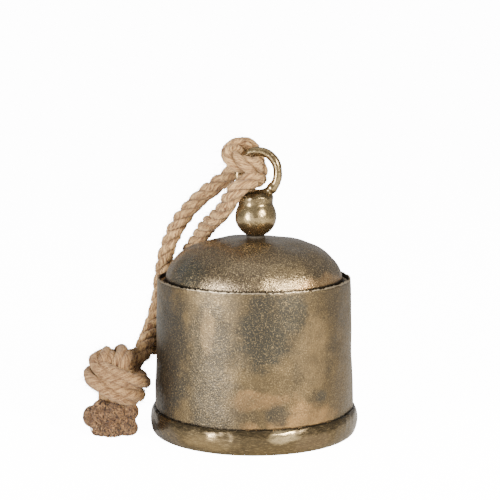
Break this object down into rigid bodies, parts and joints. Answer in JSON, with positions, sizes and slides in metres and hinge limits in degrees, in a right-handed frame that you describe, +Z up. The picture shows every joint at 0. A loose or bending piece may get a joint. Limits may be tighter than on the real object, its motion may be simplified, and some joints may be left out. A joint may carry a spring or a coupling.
{
  "type": "dinner bell",
  "caption": "Round-shouldered metal dinner bell with a half-round mouth bead, a ball and ring finial, a knotted jute rope and a ball clapper on a link.",
  "frame": {"origin": "centre of the bell's mouth, on the plane the mouth stands on", "axes": "+Z up along the bell's axis; the hanging ring faces -Y; the knotted rope falls on the -X side"},
  "size_m": [0.2196, 0.169, 0.2398],
  "materials": {
    "wall": "aged, mottled and pitted, semi-matt",
    "crown": "aged, granular, semi-matt",
    "bead": "aged, hammered smooth, satin",
    "braze": "dark rough filler metal",
    "finial": "aged and rubbed, pitted",
    "ring": "rubbed bright, tarnished at the sides",
    "hardware": "dull zinc",
    "clapper": "dark, cast, lightly rusted",
    "clapper_rod": "dull, brownish",
    "rope": "natural jute, three strands",
    "frayed": "loose jute fibre"
  },
  "bodies": {
    "bell": {"wall_shell": "wall", "wall_seam": "braze", "crown_dome": "crown", "crown_braze": "braze", "mouth_bead": "bead", "hanger_ball": "finial", "hanger_ring": "ring", "hanger_stud": "hardware", "seat_washer": "hardware", "crown_washer": "hardware", "spring_washer": "hardware", "crown_nut": "hardware", "clapper_eye": "clapper_rod", "rope_hitch": "rope", "rope_leg_outer": "rope", "rope_leg_inner": "rope", "rope_knot": "rope", "rope_end_left": "frayed", "rope_end_right": "frayed"},
    "link": {"clapper_link": "clapper_rod"},
    "clapper": {"clapper_rod": "clapper_rod", "clapper_ball": "clapper", "clapper_collar": "clapper_rod", "clapper_washer": "clapper_rod", "clapper_nut": "clapper_rod"}
  },
  "joints": [
    {"name": "link_swing", "type": "hinge", "parent": "bell", "child": "link", "pos_m": [0.0014, 0, 0.12205], "axis": [1, 0, 0], "range_deg": [-11, 11]},
    {"name": "clapper_swing", "type": "hinge", "parent": "link", "child": "clapper", "pos_m": [0.0014, 0, 0.10465], "axis": [0, 1, 0], "range_deg": [-47, 47]}
  ]
}
